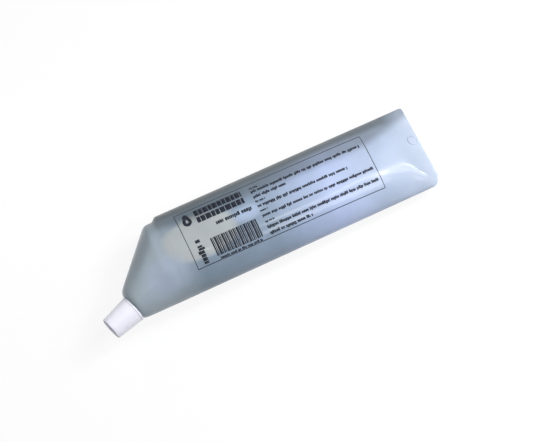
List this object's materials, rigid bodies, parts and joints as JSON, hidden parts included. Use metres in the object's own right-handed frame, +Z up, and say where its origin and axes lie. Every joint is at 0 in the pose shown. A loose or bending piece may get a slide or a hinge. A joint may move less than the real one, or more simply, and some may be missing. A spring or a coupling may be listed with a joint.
{
  "type": "squeeze tube of pipe lubricant",
  "caption": "Soft flattened squeeze tube of pipe-joint lubricant with an oblique shoulder, a slanted neck, a flat welded tail and a tapered white screw cap.",
  "frame": {"origin": "centre of the object's footprint on the surface it lies on", "axes": "+X along the tube from the neck to the welded tail, +Y across the tube from the neck's side to the far side, +Z up from the surface"},
  "size_m": [0.2298, 0.0606, 0.041],
  "materials": {
    "tube_plastic": "soft translucent polyethylene with a low sheen and dark printing",
    "lubricant_gel": "wet, clear to milky gel",
    "cap_plastic": "smooth white moulded plastic, satin",
    "seal_foam": "matte closed-cell foam"
  },
  "bodies": {
    "tube": {"tube_body": "tube_plastic", "lubricant_fill": "lubricant_gel"},
    "seal": {"cap_seal": "seal_foam"},
    "cap": {"screw_cap": "cap_plastic"}
  },
  "joints": [
    {"name": "cap_rise", "type": "slide", "parent": "tube", "child": "seal", "axis": [-0.9473, -0.3173, 0.0432], "range_m": [0, 0.0136]},
    {"name": "cap_turn", "type": "hinge", "parent": "seal", "child": "cap", "pos_m": [-0.09425, -0.01712, 0.02206], "axis": [-0.9473, -0.3173, 0.0432], "range_deg": [0, 1620]}
  ],
  "couplings": [
    {"joint": "cap_rise", "follows": "cap_turn", "m_per_rad": 0.00047746}
  ]
}
